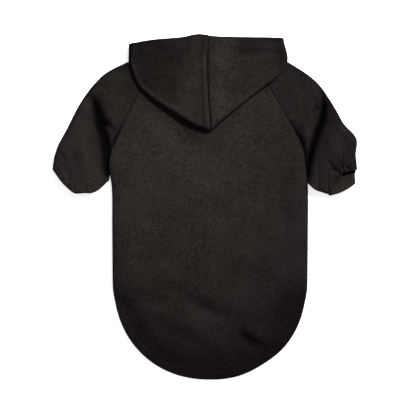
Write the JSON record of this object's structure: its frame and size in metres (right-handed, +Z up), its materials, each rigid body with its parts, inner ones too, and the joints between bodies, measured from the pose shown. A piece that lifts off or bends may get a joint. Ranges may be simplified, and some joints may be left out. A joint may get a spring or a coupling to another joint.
{
  "type": "dog hoodie",
  "caption": "Short-sleeved hooded sweatshirt for a dog, black brushed fleece with ribbed cuffs, lying flat with its back up and its hood laid back.",
  "frame": {"origin": "middle of the garment's box, on the surface that it lies on", "axes": "+Z up out of the back of the garment, +Y towards the head, +X to the right seen from above"},
  "size_m": [0.3336, 0.3778, 0.024],
  "materials": {
    "fleece": "matte",
    "rib": "matte"
  },
  "bodies": {
    "root": {"back_panel": "fleece", "belly_panel": "fleece", "sleeve_left": "fleece", "sleeve_right": "fleece", "cuff_left": "rib", "cuff_right": "rib", "hood_left": "fleece", "hood_right": "fleece"}
  },
  "joints": []
}
